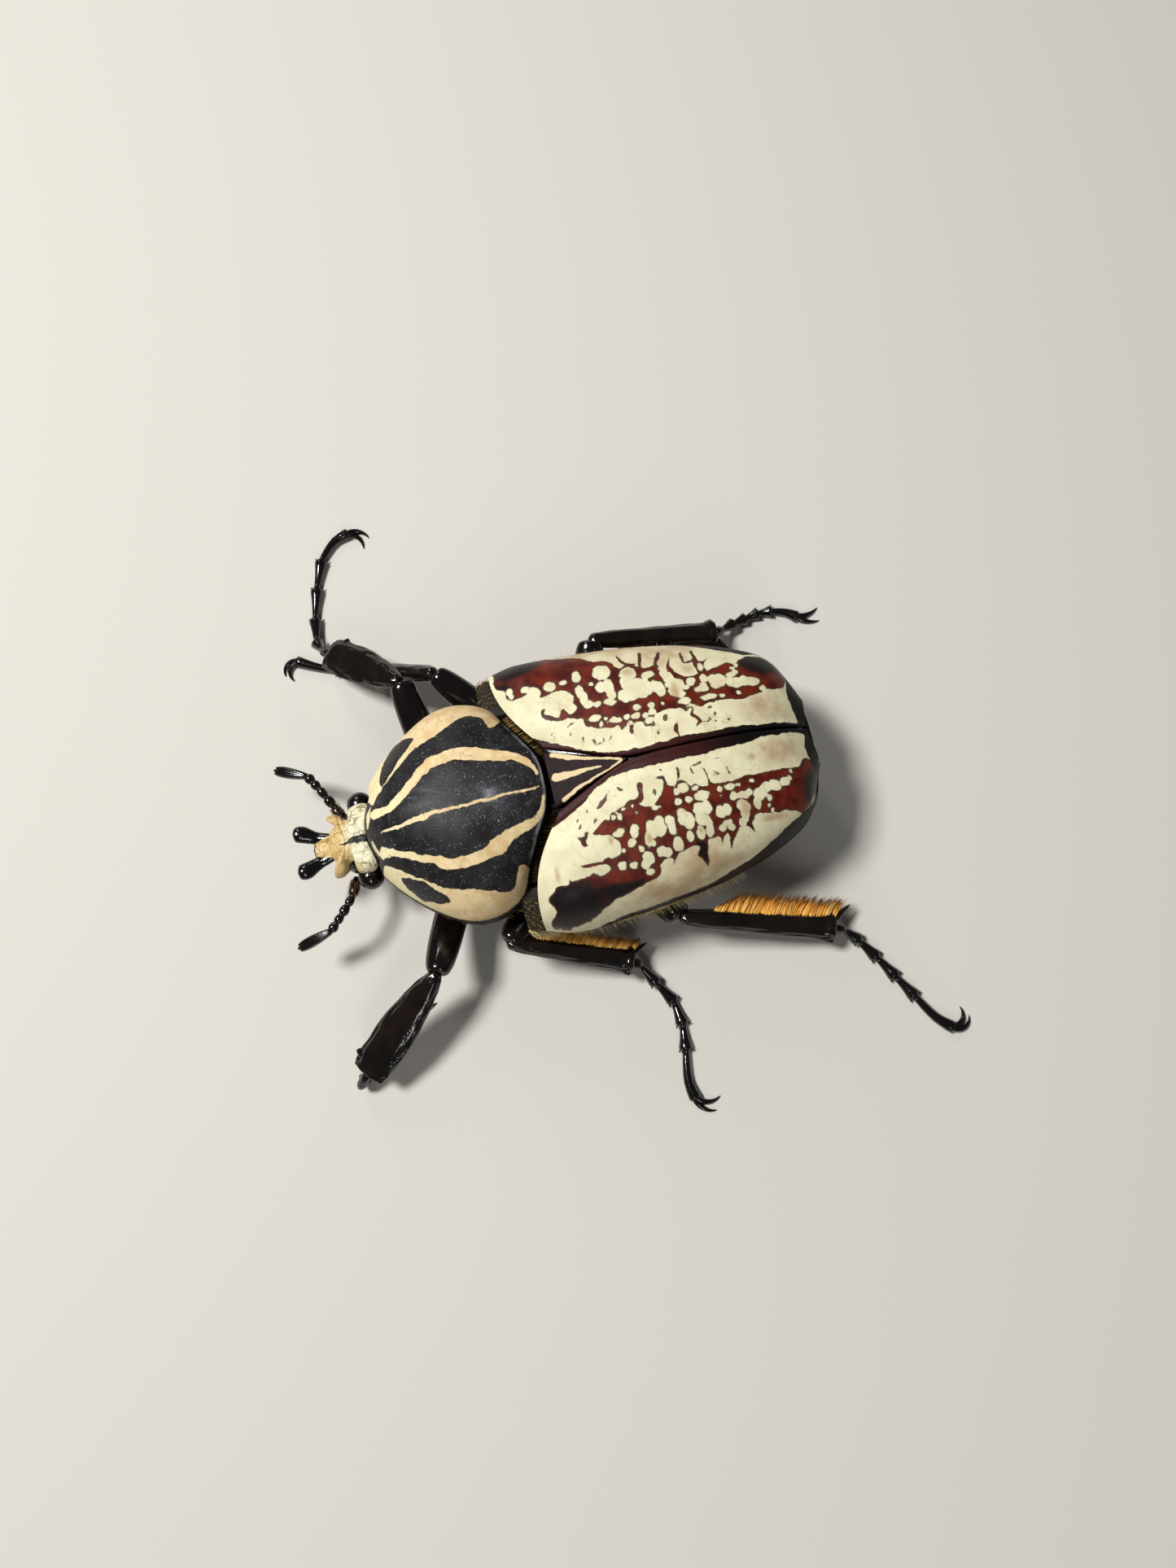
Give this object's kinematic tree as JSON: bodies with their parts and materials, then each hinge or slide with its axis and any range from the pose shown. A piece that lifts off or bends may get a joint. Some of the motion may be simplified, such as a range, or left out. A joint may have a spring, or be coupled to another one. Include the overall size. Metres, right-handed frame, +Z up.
{
  "type": "goliath beetle",
  "caption": "Life-size goliath beetle, standing still: striped pronotum, domed wing cases, forked horn, feelers and jointed legs with fringed shins.",
  "frame": {"origin": "middle of the bounding box of the whole beetle at floor level, under the feet", "axes": "+Z up, -Y towards the head, +Y towards the tail, +X towards the beetle's left side"},
  "size_m": [0.07, 0.063, 0.0183],
  "materials": {
    "pronotum_shell": "chitin, velvety matt black with tan-cream stripes and margins",
    "scutellum_plate": "chitin, dark maroon, satin, with cream lines",
    "elytron_shell": "chitin, waxy cream with maroon and charcoal patches broken by round cream spots",
    "shoulder_plate": "chitin, olive-black, satin",
    "body_plate": "chitin, greenish black, glossy, finely pitted",
    "head_plate": "chitin, cream, satin, finely crackled, over a black capsule",
    "horn": "chitin, tan with black edges and knobs, satin",
    "eye": "dark maroon, glossy, with fine facets",
    "antenna": "chitin, black, glossy",
    "leg": "chitin, black with a maroon tint, glossy, pitted",
    "fringed_shin": "chitin, black, glossy, with a comb of stiff orange hair",
    "foot": "chitin, black, glossy"
  },
  "bodies": {
    "root": {"pronotum": "pronotum_shell", "scutellum": "scutellum_plate", "elytron_left": "elytron_shell", "elytron_right": "elytron_shell", "mesepimeron_left": "shoulder_plate", "mesepimeron_right": "shoulder_plate", "thorax": "body_plate", "abdomen": "body_plate", "pygidium": "body_plate", "head": "head_plate", "horn": "horn", "eye_left": "eye", "eye_right": "eye", "antenna_left": "antenna", "antenna_right": "antenna", "coxa_front_left": "body_plate", "coxa_front_right": "body_plate", "coxa_middle_left": "body_plate", "coxa_middle_right": "body_plate", "coxa_hind_left": "body_plate", "coxa_hind_right": "body_plate", "femur_front_left": "leg", "femur_front_right": "leg", "femur_middle_left": "leg", "femur_middle_right": "leg", "femur_hind_left": "leg", "femur_hind_right": "leg", "tibia_front_left": "leg", "tibia_front_right": "leg", "tibia_middle_left": "fringed_shin", "tibia_middle_right": "fringed_shin", "tibia_hind_left": "fringed_shin", "tibia_hind_right": "fringed_shin", "tarsus_front_left": "foot", "tarsus_front_right": "foot", "tarsus_middle_left": "foot", "tarsus_middle_right": "foot", "tarsus_hind_left": "foot", "tarsus_hind_right": "foot"}
  },
  "joints": []
}
